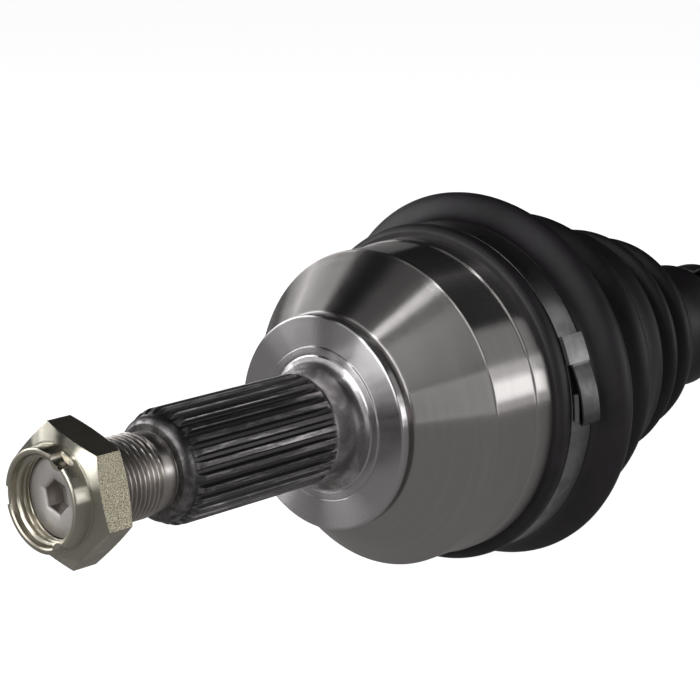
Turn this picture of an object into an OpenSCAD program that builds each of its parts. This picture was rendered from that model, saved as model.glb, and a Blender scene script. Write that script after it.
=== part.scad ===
// Front-wheel drive half-shaft: a fixed ball joint with its hub stub at one end,
// a bar shaft, and a plunging tripod joint with its gearbox stub at the other end.
// The shaft axis is +X, pointing inboard. +Z is up. The origin is the centre of the thrust face.
// Azimuths are turned about +X and start at +Y.

/* [Hub stub] */
// Radius of the thrust face that the wheel bearing sits against
thrust_r = 29.6; // [28:0.1:31]
// Length of the land behind the thrust face
thrust_land = 2.4; // [1.5:0.1:2.8]
// Depth of the undercut behind the land
thrust_undercut = 2.2; // [1:0.1:3]
// Outer radius of the hub spline
hub_spline_r = 15.2; // [14.6:0.1:15.8]
// Number of teeth on the hub spline
hub_teeth = 28; // [24:1:32]
// Height of the hub spline's teeth
hub_tooth_h = 1.3; // [0.8:0.1:1.6]
// Length of the hub spline
hub_spline_len = 50; // [40:1:60]
// Length of the plain neck between the spline and the thrust face
hub_neck_len = 9.6; // [8:0.1:12]
// Radius of the fillet between the neck and the thrust face
hub_fillet_r = 3; // [2:0.1:3.4]
// Outer radius of the hub nut's thread
hub_thread_r = 11; // [10:0.1:12]
// Length of the threaded end
hub_thread_len = 27; // [20:1:30]
// Across-flats size of the hexagonal recess in the threaded end
stud_recess_af = 8.5; // [6:0.1:10]
// Depth of the hexagonal recess
stud_recess_depth = 6; // [3:0.5:10]

/* [Hub nut] */
// Across-flats size of the hub nut
nut_af = 32; // [30:0.5:36]
// Height of the nut's hexagon
nut_hex_h = 10; // [8:0.5:12]
// Height of the thin collar in front of the hexagon
nut_collar_h = 4.9; // [4:0.1:6]
// Wall of the thin collar
nut_collar_wall = 1.9; // [1.6:0.1:2.2]
// Azimuth of the nut's first corner
nut_clock = 17.5; // [0:0.5:60]
// Distance that the collar's rim stands past the end of the thread
nut_standout = 5.1; // [2:0.1:6]

/* [Outboard joint] */
// Outer radius of the bell where the boot sits
bell_r = 44.9; // [44.5:0.1:47]
// Radius at the front of the bell's cone
cone_front_r = 29.9; // [28:0.1:31]
// Station of the front of the cone
cone_front_x = 4.4; // [4:0.1:5]
// Station of the back of the cone
cone_back_x = 21.6; // [20:0.1:23]
// Station of the bright step round the bell
bell_step_x = 38; // [36:0.1:40]
// Depth of the bright step round the bell
bell_step_depth = 0.6; // [0.3:0.1:0.8]
// Station of the joint's centre
ob_center_x = 43; // [42:0.1:45]
// Length of the bell past the joint's centre
bell_mouth_len = 18; // [17:0.5:20]
// Radius of one ball
ball_r = 9.525; // [9.1:0.005:9.6]
// Radius of the circle that the ball centres lie on
ball_pcr = 29; // [28.8:0.1:29.3]
// Room beside a ball in its track, for the balls' shift at full lock
track_clear = 0.95; // [0.95:0.01:1.05]
// Outer radius of the cage
cage_r = 33.8; // [33.6:0.1:34]
// Wall of the cage
cage_wall = 4.3; // [4:0.1:4.4]
// Half of the cage's width
cage_half_w = 14.5; // [13.5:0.1:15]
// Half of the inner race's width
race_half_w = 12; // [11:0.1:12.5]
// Running gap between the spherical faces
sphere_gap = 0.3; // [0.25:0.01:0.35]

/* [Bar shaft] */
// Distance between the two joint centres
center_distance = 400; // [360:1:700]
// Radius of the bar between the boots
bar_r = 13; // [12.5:0.1:13.4]
// Radius of the bar's necks inside the joints
neck_r = 11.2; // [10.8:0.1:11.6]
// Radius of the bar's boot seats
seat_r = 13.8; // [13.5:0.1:14.2]
// Outer radius of the bar's end splines
bar_spline_r = 12.6; // [12.3:0.1:12.8]
// Number of teeth on the bar's end splines
bar_teeth = 26; // [22:1:30]
// Height of the end splines' teeth
bar_tooth_h = 1.1; // [0.8:0.1:1.2]

/* [Outboard boot] */
// Station of the front lip of the large cuff
ob_cuff_x = 43.9; // [43:0.1:45]
// Wall of the large cuff under its clamp
cuff_wall = 2.1; // [1.8:0.1:2.6]
// Wall of both boots' small cuffs under their clamps
small_cuff_wall = 3.4; // [3:0.1:3.8]
// Wall of the boot's folds
boot_wall = 2; // [1.6:0.1:2.4]
// Radius of the largest fold
ob_fold_r = 53.6; // [52.6:0.1:54.6]
// Length of the folded stretch behind the large clamp
ob_fold_len = 94; // [90:1:100]
// Width of the seats of the large clamps
large_seat_w = 9.6; // [9.2:0.1:10.4]
// Width of the seats of the small clamps
small_seat_w = 8.6; // [8:0.1:9.4]

/* [Clamps] */
// Width of the large clamps' band
large_band_w = 8.6; // [7:0.1:9]
// Width of the small clamps' band
small_band_w = 7; // [6:0.1:7.8]
// Thickness of the clamps' band
band_t = 0.8; // [0.6:0.1:1]
// Azimuth of the outboard large clamp's buckle
ob_buckle_az = 166; // [0:1:359]
// Azimuth of the inboard large clamp's buckle
ib_buckle_az = 100; // [0:1:359]
// Azimuth of both small clamps' buckles
small_buckle_az = 60; // [0:1:359]

/* [Inboard joint] */
// Outer radius of the tripod housing
tulip_r = 43; // [42.8:0.1:45]
// Length of the housing's mouth ahead of the joint centre
tulip_mouth_len = 38; // [37:0.5:40]
// Length of the housing's tracks behind the joint centre
tulip_back_len = 42; // [41:0.5:45]
// Radius of the circle that the rollers' centres lie on
roller_pcr = 23; // [22.8:0.1:23.2]
// Outer radius of one roller
roller_r = 15; // [14.8:0.1:15.1]
// Height of one roller
roller_h = 11; // [10:0.1:11.4]
// Room round a roller in its track, for the rollers' shift at full angle
roller_clear = 1.05; // [1.03:0.01:1.15]
// Radius of a trunnion
trunnion_r = 8.5; // [8.3:0.1:8.6]
// Radius of one needle
needle_r = 1; // [0.95:0.01:1]
// Number of needles round each trunnion
needle_count = 27; // [24:1:27]
// Greatest angle of the inboard joint, which the mouth's flare clears
ib_angle = 18; // [12:1:18]
// Greatest plunge each way, which the mouth's flare clears
ib_plunge = 18; // [12:1:18]

/* [Inboard stub] */
// Radius of the seal journal
journal_r = 18; // [17:0.1:20]
// Length of the seal journal
journal_len = 24; // [18:1:30]
// Outer radius of the gearbox spline
ib_spline_r = 14; // [13.4:0.1:14.6]
// Number of teeth on the gearbox spline
ib_teeth = 27; // [22:1:30]
// Height of the gearbox spline's teeth
ib_tooth_h = 1.2; // [0.8:0.1:1.4]
// Length of the gearbox spline
ib_spline_len = 34; // [28:1:40]

/* [Inboard boot] */
// Wall of the inboard boot's cuff under its clamp
ib_cuff_wall = 2.4; // [2:0.1:2.8]
// Radius of the inboard boot's largest fold
ib_fold_r = 45; // [44:0.1:47]
// Length of the inboard boot's folded stretch
ib_fold_len = 72; // [68:1:80]

/* [Hidden] */
$fn = 96;

ob_buckle_len = 8;
ib_buckle_len = 14;
small_buckle_len = 9;
tongue_half_az = 15;
tongue_lift = 3.4;

steel = [0.62, 0.62, 0.63];
dark_steel = [0.33, 0.33, 0.34];
rubber = [0.1, 0.1, 0.11];
stainless = [0.75, 0.75, 0.77];
plated = [0.72, 0.69, 0.58];
bearing_steel = [0.8, 0.8, 0.82];

// A cut runs this far past the face that it opens
eps = 1;
ring_gap = 0.1;
edge_chamfer = 0.5;

ib_center_x = ob_center_x + center_distance;
ball_count = 6;
first_ball_az = 30;

// Hub stub stations
spline_back_x = -hub_neck_len;
spline_front_x = spline_back_x - hub_spline_len;
stud_chamfer = 1.2;
relief_len = 3;
runout_len = 0.6;
relief_r = hub_thread_r - runout_len;
spline_lead = 2.4;
lead_depth = 2.2;
spline_runout = 1.6;
neck_rise = 0.2;
groove_slope = 0.2;
thread_back_x = spline_front_x - spline_lead - relief_len;
stud_end_x = thread_back_x - runout_len - hub_thread_len;
nut_rim_x = stud_end_x - nut_standout;
nut_thread_room = 0.3;
nut_collar_r = hub_thread_r + nut_collar_wall + nut_thread_room;
nut_face_edge = 0.6;
nut_corner_gap = 0.4;
nut_bevel_angle = 33;
nut_fillet = 0.7;
nut_lead = 0.8;
dent_azimuths = [-5, 115, 235];
dent_r = 2.6;
dent_len = 3.7;

// Bell inside
housing_sphere_r = cage_r + sphere_gap;
cage_inner_r = cage_r - cage_wall;
race_sphere_r = cage_inner_r - sphere_gap;
track_r = ball_r + track_clear;
bell_mouth_x = ob_center_x + bell_mouth_len;
mouth_r = 36;
mouth_edge = 1;
mouth_chamfer_len = 4;
throat_lip = 0.8;
housing_track_back = 46;
housing_track_ahead = 62;
race_track_reach = 60;
window_gap = 0.08;
window_shift = 2;

// Bead grooves under the large cuffs
bead_start = 2.4;
bead_end = 6.6;
bead_flank = 0.6;
bead_depth = 0.9;

// Rings on the bar
bar_root_r = bar_spline_r - bar_tooth_h;
bar_groove_depth = 0.7;
bar_ring_t = 1.8;
bar_ring_rise = 1.4;
bar_ring_opening = 4;
bar_groove_gap = 0.2;
bar_groove_w = bar_ring_t + bar_groove_gap;
bar_end_len = 4;
neck_taper_start = 22;
neck_taper_end = 14;
seat_margin = 4;
seat_taper = 2;

// Boots
seat_inset = 4.5;
ob_seat_x = ob_cuff_x + seat_inset;
ob_fold_x = ob_seat_x + large_seat_w;
small_cuff_len = 17;
ob_small_x = ob_fold_x + ob_fold_len + small_cuff_len;
ob_seat_r = bell_r + cuff_wall;
ib_seat_r = tulip_r + ib_cuff_wall;
small_seat_r = seat_r + small_cuff_wall;
lip_rise = 1.4;
lip_round = 1.6;
seat_edge = 0.6;
end_rim = 3;
cuff_bulge = 1.6;
cuff_bulge_len = 11;
fold_steps = 8;
ob_fold_table = [[0.085, 0], [0.245, 11.4], [0.334, 8.3], [0.436, 18], [0.521, 14.4],
    [0.638, 24.3], [0.738, 20.6], [0.84, 31.3], [0.904, 28.6]];
ib_fold_table = [[0.111, 6.6], [0.208, 3], [0.319, 12], [0.417, 8.5], [0.528, 17], [0.625, 14], [0.736, 22],
    [0.833, 19.5]];

// Inboard stations
tulip_mouth_x = ib_center_x - tulip_mouth_len;
tulip_back_x = ib_center_x + tulip_back_len;
tulip_floor = 9;
stub_neck_len = 12;
relief_w = 4;
journal_x = tulip_back_x + tulip_floor + stub_neck_len;
ib_spline_x = journal_x + journal_len + relief_w;
ib_end_x = ib_spline_x + ib_spline_len;
ib_seat_x = tulip_mouth_x + 6;
ib_small_x = tulip_mouth_x - ib_fold_len - 2 * end_rim;
roller_track_r = roller_r + roller_clear;
tulip_bore_r = 20.5;
tulip_shoulder = 8;
tulip_web_r = 27;
tulip_web_len = 3;
tulip_neck_r = 24;
seal_flange_len = 4;
seal_flange_rise = 2.5;
flare_gap = 0.6;
ib_lead = 1.5;
trunnion_azimuths = [90, 210, 330];
spider_half_w = 11;
spider_hub_r = 17;
washer_t = 1;
washer_rise = 3.6;
trunnion_clip_t = 1.2;
trunnion_groove = 0.8;
trunnion_tip = 2.2;
needle_gap = 0.02;
needle_end = 1;
roller_low = roller_pcr - roller_h / 2;
roller_top_r = roller_pcr + roller_h / 2;
stub_ring_x = ib_end_x - 6;
stub_ring_w = 2;
stub_ring_rise = 0.4;
stub_ring_opening = 5;
stub_groove_r = ib_spline_r - 2.4;

// Lays what is built about +Z along the shaft axis
module along_x(x = 0) {
    translate([x, 0, 0]) rotate([0, 90, 0]) children();
}

// A turned body from [station, radius] points, closed along the axis
module turned(points) {
    rotate([0, 90, 0]) rotate_extrude() polygon([for (p = points) [p[1], p[0]]]);
}

// A ring about the shaft axis
module ring(x, len, r_in, r_out) {
    turned([[x, r_in], [x, r_out], [x + len, r_out], [x + len, r_in]]);
}

// The outline of a straight-sided spline, with flanks that narrow towards the tip
function spline_points(teeth, r_tip, h) = [
    for (i = [0 : teeth - 1]) for (c = [[-0.34, 0], [-0.2, 1], [0.2, 1], [0.34, 0]])
        let (a = 360 * (i + c[0]) / teeth, r = r_tip - h * (1 - c[1])) [r * cos(a), r * sin(a)]
];

module spline_bar(x, len, teeth, r_tip, h) {
    along_x(x) linear_extrude(len) polygon(spline_points(teeth, r_tip, h));
}

// Stations and radii that swing smoothly from each turning point to the next
function swing(p, q, steps) = [
    for (i = [0 : steps - 1])
        let (t = i / steps, k = (1 - cos(180 * t)) / 2) [p[0] + (q[0] - p[0]) * t, p[1] + (q[1] - p[1]) * k]
];
function swings(turns, steps) = [
    for (i = [0 : len(turns) - 2]) each swing(turns[i], turns[i + 1], steps), turns[len(turns) - 1]
];
function thinned(points, wall) = [for (i = [len(points) - 1 : -1 : 0]) [points[i][0], points[i][1] - wall]];

// The groove that a boot's inner bead snaps into
function bead(x, r) = [
    [x + bead_start, r], [x + bead_start + bead_flank, r - bead_depth],
    [x + bead_end - bead_flank, r - bead_depth], [x + bead_end, r]
];
function reversed(points) = [for (i = [len(points) - 1 : -1 : 0]) points[i]];

// A retaining ring in a groove of the bar
module bar_ring(x) {
    open_ring(x, bar_ring_t, bar_root_r - bar_groove_depth, bar_spline_r + bar_ring_rise, bar_ring_opening);
}

// A retaining ring with a gap
module open_ring(x, thickness, r_in, r_out, gap) {
    difference() {
        ring(x, thickness, r_in, r_out);
        translate([x - eps, 0, -gap / 2]) cube([thickness + 2 * eps, r_out + eps, gap]);
    }
}

module hub_nut() {
    hex_r = nut_af / 2 / cos(30);
    hex_front_x = nut_rim_x + nut_collar_h;
    hex_back_x = hex_front_x + nut_hex_h;
    face_r = nut_af / 2 - nut_face_edge;
    rim_r = hex_r + nut_corner_gap;
    bevel_len = (rim_r - face_r) * tan(nut_bevel_angle);
    bore_r = hub_thread_r + ring_gap;
    color(plated) difference() {
        union() {
            intersection() {
                rotate([nut_clock, 0, 0]) along_x(hex_front_x) rotate([0, 0, 90])
                    cylinder(r = hex_r, h = nut_hex_h, $fn = 6);
                turned([[hex_front_x, 0], [hex_front_x, face_r], [hex_front_x + bevel_len, rim_r],
                    [hex_back_x - bevel_len, rim_r], [hex_back_x, face_r], [hex_back_x, 0]]);
            }
            turned([[nut_rim_x, 0], [nut_rim_x, nut_collar_r - edge_chamfer],
                [nut_rim_x + edge_chamfer, nut_collar_r],
                [hex_front_x - nut_fillet, nut_collar_r],
                [hex_front_x + ring_gap, nut_collar_r + nut_fillet],
                [hex_front_x + ring_gap, 0]]);
        }
        along_x(nut_rim_x - eps) cylinder(r = bore_r, h = nut_collar_h + nut_hex_h + 2 * eps);
        turned([[nut_rim_x - ring_gap, 0], [nut_rim_x - ring_gap, hub_thread_r + nut_lead + ring_gap],
            [nut_rim_x + nut_lead, hub_thread_r], [nut_rim_x + nut_lead, 0]]);
        for (a = dent_azimuths) rotate([a, 0, 0])
            translate([nut_rim_x - ring_gap, nut_collar_r + dent_r - nut_collar_wall, 0]) rotate([0, 90, 0])
                cylinder(r = dent_r, h = dent_len);
    }
}

module outboard_housing() {
    undercut_r = thrust_r - thrust_undercut;
    root_r = hub_spline_r - hub_tooth_h;
    neck_out_r = hub_spline_r + neck_rise;
    step_r = bell_r - bell_step_depth;
    throat_r = sqrt(pow(housing_sphere_r, 2) - pow(bell_mouth_len - mouth_chamfer_len, 2)) - throat_lip;
    lead_slope = lead_depth / spline_lead;
    shell = [
        [stud_end_x, 0], [stud_end_x, hub_thread_r - stud_chamfer],
        [stud_end_x + stud_chamfer, hub_thread_r],
        [thread_back_x - runout_len, hub_thread_r], [thread_back_x, relief_r],
        [thread_back_x + relief_len, relief_r],
        [thread_back_x + relief_len, root_r], [spline_back_x, root_r],
        [spline_back_x + spline_runout, neck_out_r],
        for (a = [0 : 10 : 80]) [hub_fillet_r * (sin(a) - 1), neck_out_r + hub_fillet_r * (1 - cos(a))],
        [0, neck_out_r + hub_fillet_r], [0, thrust_r - edge_chamfer], [edge_chamfer, thrust_r],
        [thrust_land, thrust_r],
        [thrust_land + groove_slope, undercut_r], [cone_front_x - groove_slope, undercut_r],
        [cone_front_x, cone_front_r],
        [cone_back_x, step_r - groove_slope], [cone_back_x + groove_slope, step_r],
        [bell_step_x - bell_step_depth, step_r], [bell_step_x, bell_r],
        each bead(ob_seat_x, bell_r), [bell_mouth_x - mouth_edge, bell_r],
            [bell_mouth_x, bell_r - mouth_edge],
        [bell_mouth_x, mouth_r], [bell_mouth_x - mouth_chamfer_len, throat_r], [ob_center_x, throat_r],
        [ob_center_x, 0]
    ];
    color(steel) {
        difference() {
            union() {
                turned(shell);
                difference() {
                    spline_bar(thread_back_x + relief_len, hub_spline_len + spline_lead + 1, hub_teeth,
                        hub_spline_r, hub_tooth_h);
                    along_x(spline_front_x - spline_lead - eps) difference() {
                        cylinder(r = hub_spline_r + lead_depth, h = spline_lead + 2 * eps);
                        translate([0, 0, -eps]) cylinder(r1 = hub_spline_r - lead_depth - 2 * eps * lead_slope,
                            r2 = hub_spline_r + 2 * eps * lead_slope, h = spline_lead + 4 * eps);
                    }
                }
            }
            along_x(ob_center_x) sphere(r = housing_sphere_r);
            at_each_ball() track_cut(housing_track_back, housing_track_ahead);
            along_x(stud_end_x - eps) cylinder(r = stud_recess_af / 2 / cos(30),
                h = stud_recess_depth + eps, $fn = 6);
        }
    }
}

// Turns what is built on +Y to the six ball places
module at_each_ball() {
    for (i = [0 : ball_count - 1]) rotate([360 / ball_count * i + first_ball_az, 0, 0]) children();
}

// The path of a ball's track in the plane of X and Y, cut this far behind and ahead of the ball plane
module track_cut(back, ahead) {
    translate([ob_center_x, 0, 0]) rotate([0, 0, 90 - ahead])
        rotate_extrude(angle = back + ahead) translate([ball_pcr, 0]) circle(r = track_r);
}

module outboard_inner_race() {
    rim_r = sqrt(pow(race_sphere_r, 2) - pow(race_half_w, 2));
    color(bearing_steel) difference() {
        intersection() {
            translate([ob_center_x, 0, 0]) sphere(r = race_sphere_r);
            turned([[ob_center_x - race_half_w, 0], [ob_center_x - race_half_w, rim_r - edge_chamfer],
                [ob_center_x - race_half_w + edge_chamfer, race_sphere_r],
                [ob_center_x + race_half_w - edge_chamfer, race_sphere_r],
                [ob_center_x + race_half_w, rim_r - edge_chamfer], [ob_center_x + race_half_w, 0]]);
        }
        at_each_ball() track_cut(race_track_reach, race_track_reach);
        spline_bar(ob_center_x - race_half_w - eps, 2 * (race_half_w + eps), bar_teeth,
            bar_spline_r + ring_gap, bar_tooth_h);
    }
}

module outboard_cage() {
    window_half_w = ball_r + window_gap;
    window_half_len = ball_r + window_shift;
    color(dark_steel) difference() {
        intersection() {
            translate([ob_center_x, 0, 0]) sphere(r = cage_r);
            along_x(ob_center_x - cage_half_w) cylinder(r = cage_r + eps, h = 2 * cage_half_w);
        }
        translate([ob_center_x, 0, 0]) sphere(r = cage_inner_r);
        at_each_ball() translate([ob_center_x - window_half_w, cage_inner_r - cage_wall, -window_half_len])
            cube([2 * window_half_w, 3 * cage_wall, 2 * window_half_len]);
    }
}

module outboard_balls() {
    color(bearing_steel) at_each_ball() translate([ob_center_x, ball_pcr, 0]) sphere(r = ball_r);
}

module outboard_race_circlip() {
    color(dark_steel) bar_ring(ob_center_x - race_half_w - bar_groove_w);
}

module outboard_stop_ring() {
    color(dark_steel) bar_ring(ob_center_x + race_half_w + bar_groove_w - bar_ring_t);
}

// A ring groove in the bar, between a part of one radius and a part of another
function groove(x, r_before, r_after) = [
    [x, r_before], [x, bar_root_r - bar_groove_depth], [x + bar_groove_w, bar_root_r - bar_groove_depth],
    [x + bar_groove_w, r_after]
];

module bar_shaft() {
    ob_teeth = [ob_center_x - race_half_w - ring_gap, ob_center_x + race_half_w + ring_gap];
    ib_teeth = [ib_center_x - spider_half_w - ring_gap, ib_center_x + spider_half_w + ring_gap];
    ob_end_x = ob_center_x - race_half_w - bar_end_len;
    ib_bar_end_x = ib_center_x + spider_half_w + bar_end_len;
    outline = [
        [ob_end_x, 0], [ob_end_x, bar_root_r - 2 * edge_chamfer], [ob_end_x + 2 * edge_chamfer, bar_root_r],
        each groove(ob_teeth[0] - bar_groove_w, bar_root_r, bar_root_r),
        each groove(ob_teeth[1], bar_root_r, neck_r),
        [ob_small_x - neck_taper_start, neck_r], [ob_small_x - neck_taper_end, bar_r],
        [ob_small_x - 2 * seat_taper, bar_r], [ob_small_x - seat_taper, seat_r],
        [ob_small_x + small_seat_w + seat_margin, seat_r],
        [ob_small_x + small_seat_w + seat_margin + seat_taper, bar_r],
        [ib_small_x - small_seat_w - seat_margin - seat_taper, bar_r],
        [ib_small_x - small_seat_w - seat_margin, seat_r],
        [ib_small_x + seat_taper, seat_r], [ib_small_x + 2 * seat_taper, bar_r],
        [ib_small_x + neck_taper_end, bar_r], [ib_small_x + neck_taper_start, neck_r],
        each groove(ib_teeth[0] - bar_groove_w, neck_r, bar_root_r),
        each groove(ib_teeth[1], bar_root_r, bar_root_r),
        [ib_bar_end_x - 2 * edge_chamfer, bar_root_r], [ib_bar_end_x, bar_root_r - 2 * edge_chamfer],
        [ib_bar_end_x, 0]
    ];
    color(dark_steel) union() {
        turned(outline);
        for (ends = [ob_teeth, ib_teeth])
            spline_bar(ends[0], ends[1] - ends[0], bar_teeth, bar_spline_r, bar_tooth_h);
    }
}

module tripod_spider() {
    groove_low = roller_top_r + washer_t + ring_gap;
    groove_high = roller_top_r + washer_t + trunnion_clip_t + 3 * ring_gap;
    trunnion_end = roller_top_r + washer_t + trunnion_clip_t + trunnion_tip;
    color(bearing_steel) difference() {
        union() {
            along_x(ib_center_x - spider_half_w) cylinder(r = spider_hub_r, h = 2 * spider_half_w);
            for (a = trunnion_azimuths) at_trunnion(a)
                rotate_extrude() polygon([[0, 0], [trunnion_r, 0], [trunnion_r, groove_low],
                    [trunnion_r - trunnion_groove, groove_low], [trunnion_r - trunnion_groove, groove_high],
                    [trunnion_r, groove_high], [trunnion_r, trunnion_end - trunnion_groove],
                    [trunnion_r - trunnion_groove, trunnion_end], [0, trunnion_end]]);
        }
        spline_bar(ib_center_x - spider_half_w - eps, 2 * (spider_half_w + eps), bar_teeth,
            bar_spline_r + ring_gap, bar_tooth_h);
    }
}

// Turns what is built on +Y about the joint centre to one of the three trunnions
module at_trunnion(azimuth) {
    rotate([azimuth, 0, 0]) translate([ib_center_x, 0, 0]) rotate([-90, 0, 0]) children();
}

module roller() {
    bore_r = trunnion_r + 2 * needle_r + ring_gap / 2;
    difference() {
        intersection() {
            translate([0, 0, roller_pcr]) sphere(r = roller_r);
            translate([0, 0, roller_low]) cylinder(r = roller_r + eps, h = roller_h);
        }
        translate([0, 0, roller_low - eps]) cylinder(r = bore_r, h = roller_h + 2 * eps);
    }
}

module roller_top() {
    color(bearing_steel) at_trunnion(90) roller();
}
module roller_left() {
    color(bearing_steel) at_trunnion(210) roller();
}
module roller_right() {
    color(bearing_steel) at_trunnion(330) roller();
}

module needles() {
    for (i = [0 : needle_count - 1]) rotate([0, 0, 360 / needle_count * i])
        translate([trunnion_r + needle_r + needle_gap, 0, roller_low + needle_end])
            cylinder(r = needle_r, h = roller_h - 2 * needle_end, $fn = 16);
}
module needles_top() {
    color(bearing_steel) at_trunnion(90) needles();
}
module needles_left() {
    color(bearing_steel) at_trunnion(210) needles();
}
module needles_right() {
    color(bearing_steel) at_trunnion(330) needles();
}

module roller_washers() {
    color(steel) for (a = trunnion_azimuths) at_trunnion(a) difference() {
        translate([0, 0, roller_top_r + ring_gap]) cylinder(r = trunnion_r + washer_rise,
            h = washer_t - ring_gap);
        translate([0, 0, roller_top_r - eps]) cylinder(r = trunnion_r + ring_gap / 2,
            h = washer_t + 2 * eps);
    }
}

module roller_circlips() {
    clip_z = roller_top_r + washer_t + 1.5 * ring_gap;
    opening = 3;
    color(dark_steel) for (a = trunnion_azimuths) at_trunnion(a) difference() {
        translate([0, 0, clip_z]) cylinder(r = trunnion_r + 2 * trunnion_groove, h = trunnion_clip_t);
        translate([0, 0, clip_z - eps]) cylinder(r = trunnion_r - trunnion_groove + ring_gap / 2,
            h = trunnion_clip_t + 2 * eps);
        translate([0, -opening / 2, clip_z - eps]) cube([trunnion_r + 2 * trunnion_groove + eps, opening,
            trunnion_clip_t + 2 * eps]);
    }
}

module spider_circlip() {
    color(dark_steel) bar_ring(ib_center_x + spider_half_w + bar_groove_w - bar_ring_t);
}

module spider_stop_ring() {
    color(dark_steel) bar_ring(ib_center_x - spider_half_w - bar_groove_w);
}

module inboard_housing() {
    flare_reach = tulip_mouth_len + ib_plunge;
    flare_r = flare_reach * tan(ib_angle) + neck_r / cos(ib_angle) + flare_gap;
    spline_root_r = ib_spline_r - ib_tooth_h;
    flange_r = journal_r + seal_flange_rise;
    flare_depth = (flare_r - tulip_bore_r) / tan(ib_angle);
    outline = [
        [tulip_mouth_x, 0], [tulip_mouth_x, tulip_r - mouth_edge], [tulip_mouth_x + mouth_edge, tulip_r],
        each bead(ib_seat_x, tulip_r),
        [tulip_back_x, tulip_r], [tulip_back_x + tulip_floor - 2 * mouth_edge, tulip_r - tulip_shoulder],
        [tulip_back_x + tulip_floor, tulip_web_r], [tulip_back_x + tulip_floor + tulip_web_len,
        tulip_neck_r],
        [journal_x - seal_flange_len, tulip_neck_r - 2 * mouth_edge],
        [journal_x - seal_flange_len, flange_r],
        [journal_x - mouth_edge, flange_r], [journal_x, journal_r],
        [journal_x + journal_len - mouth_edge, journal_r],
        [journal_x + journal_len, journal_r - mouth_edge],
        [journal_x + journal_len, spline_root_r - edge_chamfer],
        [ib_spline_x, spline_root_r - edge_chamfer],
        [ib_spline_x, spline_root_r], [stub_ring_x, spline_root_r], [stub_ring_x, stub_groove_r],
        [stub_ring_x + stub_ring_w, stub_groove_r], [stub_ring_x + stub_ring_w, spline_root_r],
        [ib_end_x - ib_lead, spline_root_r], [ib_end_x, spline_root_r - ib_lead], [ib_end_x, 0]
    ];
    color(steel) difference() {
        union() {
            turned(outline);
            difference() {
                spline_bar(ib_spline_x, ib_spline_len - ib_lead, ib_teeth, ib_spline_r, ib_tooth_h);
                ring(stub_ring_x, stub_ring_w, stub_groove_r, ib_spline_r + eps);
            }
        }
        along_x(tulip_mouth_x - eps) cylinder(r = tulip_bore_r, h = tulip_mouth_len + tulip_back_len + eps);
        along_x(tulip_mouth_x) cylinder(r1 = flare_r, r2 = tulip_bore_r, h = flare_depth);
        for (a = trunnion_azimuths) rotate([a, 0, 0]) translate([0, roller_pcr, 0])
            along_x(tulip_mouth_x - eps)
            cylinder(r = roller_track_r, h = tulip_mouth_len + tulip_back_len + eps);
    }
}

module stub_circlip() {
    color(dark_steel) open_ring(stub_ring_x + 2 * ring_gap, stub_ring_w - 4 * ring_gap,
        stub_groove_r + ring_gap,
        ib_spline_r + stub_ring_rise, stub_ring_opening);
}

// A rounded edge from an end face to an outer radius, ahead of the face or behind it
function rounded_edge(x, r, size, way) = [
    for (a = [0 : 30 : 90]) [x + way * size * (1 - cos(a)), r - size * (1 - sin(a))]
];

// Turning points of the folds, from [share of the folded stretch, drop below the largest fold]
function turning(x, len, r, table) = [for (t = table) [x + len * t[0], r - t[1]]];

module outboard_boot() {
    lip_r = ob_seat_r + lip_rise;
    end_x = ob_small_x + small_seat_w + end_rim;
    folds = swings([[ob_fold_x + seat_edge, ob_seat_r + 2 * edge_chamfer],
        each turning(ob_fold_x, ob_fold_len, ob_fold_r, ob_fold_table),
        [ob_fold_x + ob_fold_len, small_seat_r + seat_edge]], fold_steps);
    outer = concat(
        [[ob_cuff_x, bell_r]], rounded_edge(ob_cuff_x, lip_r, lip_round, 1),
        [[ob_seat_x, lip_r], [ob_seat_x, ob_seat_r], [ob_fold_x, ob_seat_r],
        [ob_fold_x, ob_seat_r + seat_edge]],
        folds,
        [[ob_small_x - cuff_bulge_len, small_seat_r + cuff_bulge],
        [ob_small_x - seat_edge, small_seat_r + cuff_bulge],
        [ob_small_x, small_seat_r + seat_edge], [ob_small_x, small_seat_r],
        [ob_small_x + small_seat_w, small_seat_r],
        [ob_small_x + small_seat_w, small_seat_r + seat_edge],
        [end_x - seat_edge, small_seat_r + seat_edge],
        [end_x, small_seat_r]]);
    inner = concat(
        [[end_x, seat_r], [ob_small_x - seat_taper, seat_r],
        [ob_small_x - 2 * seat_taper, small_seat_r + cuff_bulge - boot_wall],
        [ob_small_x - cuff_bulge_len, small_seat_r + cuff_bulge - boot_wall]],
        thinned(folds, boot_wall),
        [[bell_mouth_x, ob_seat_r - boot_wall + edge_chamfer], [bell_mouth_x, bell_r]],
        reversed(bead(ob_seat_x, bell_r)));
    color(rubber) turned(concat(outer, inner));
}

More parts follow.
